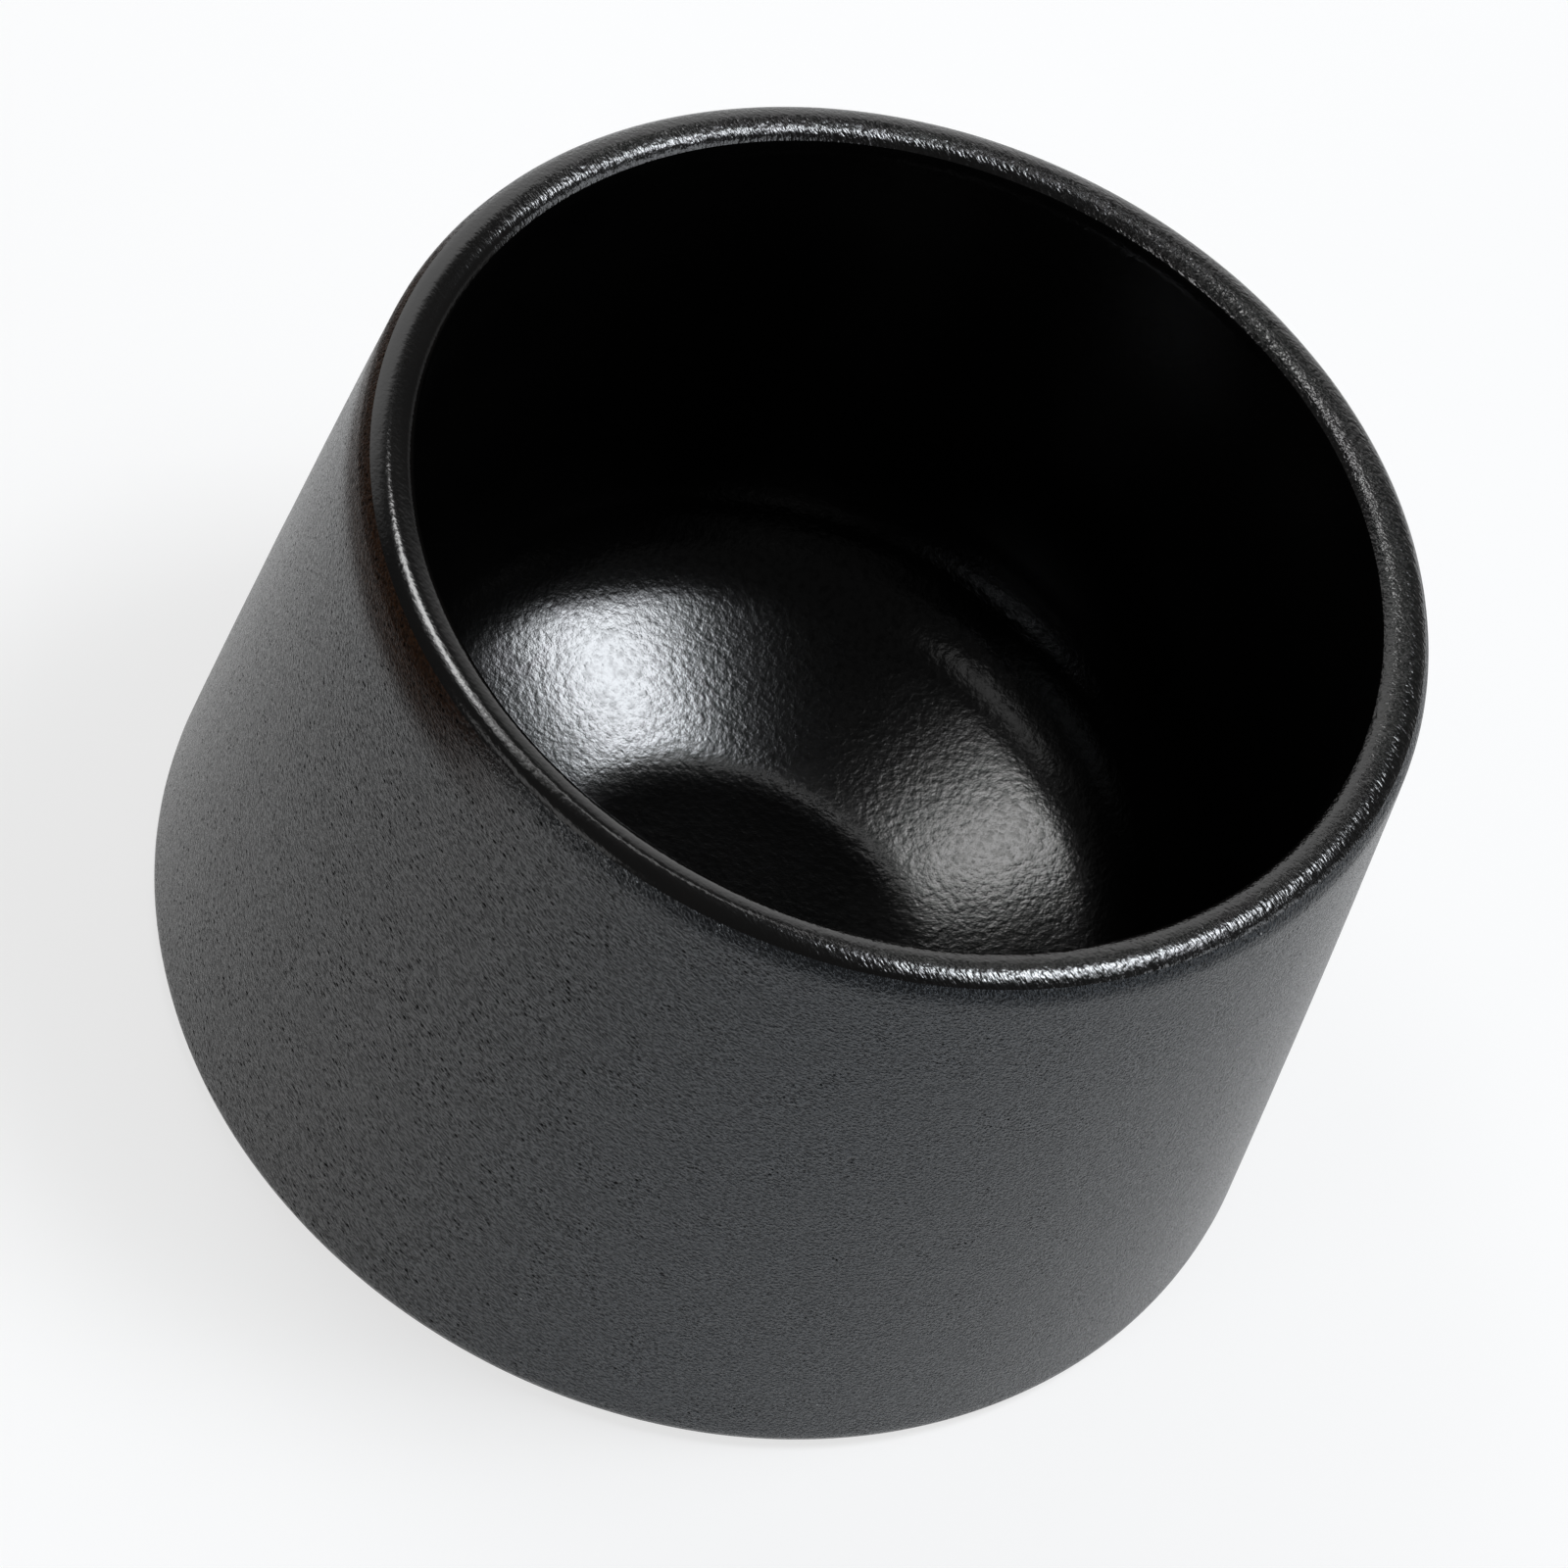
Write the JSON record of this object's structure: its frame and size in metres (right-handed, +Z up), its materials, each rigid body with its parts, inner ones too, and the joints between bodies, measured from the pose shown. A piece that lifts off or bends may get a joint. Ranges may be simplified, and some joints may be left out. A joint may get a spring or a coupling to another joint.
{
  "type": "candle jar",
  "caption": "Squat empty candle jar in glazed stoneware, wider at the foot than at the rounded lip, matte black outside and gloss black inside, with a dished floor.",
  "frame": {"origin": "middle of the foot, on the surface the jar stands on", "axes": "+Z up along the jar's axis, out of its mouth; the jar is the same all round Z"},
  "size_m": [0.0902, 0.0902, 0.056],
  "materials": {
    "bare_stoneware": "unglazed fired clay, fine-grained and dry",
    "matte_black_glaze": "satin-matte black glaze with a fine grain and scattered pinholes",
    "rim_black_glaze": "semi-gloss black glaze with fine hairline texture",
    "gloss_black_glaze": "glossy black glaze with slight orange peel"
  },
  "bodies": {
    "root": {"stoneware_body": "bare_stoneware", "outer_glaze": "matte_black_glaze", "rim_glaze": "rim_black_glaze", "inner_glaze": "gloss_black_glaze"}
  },
  "joints": []
}
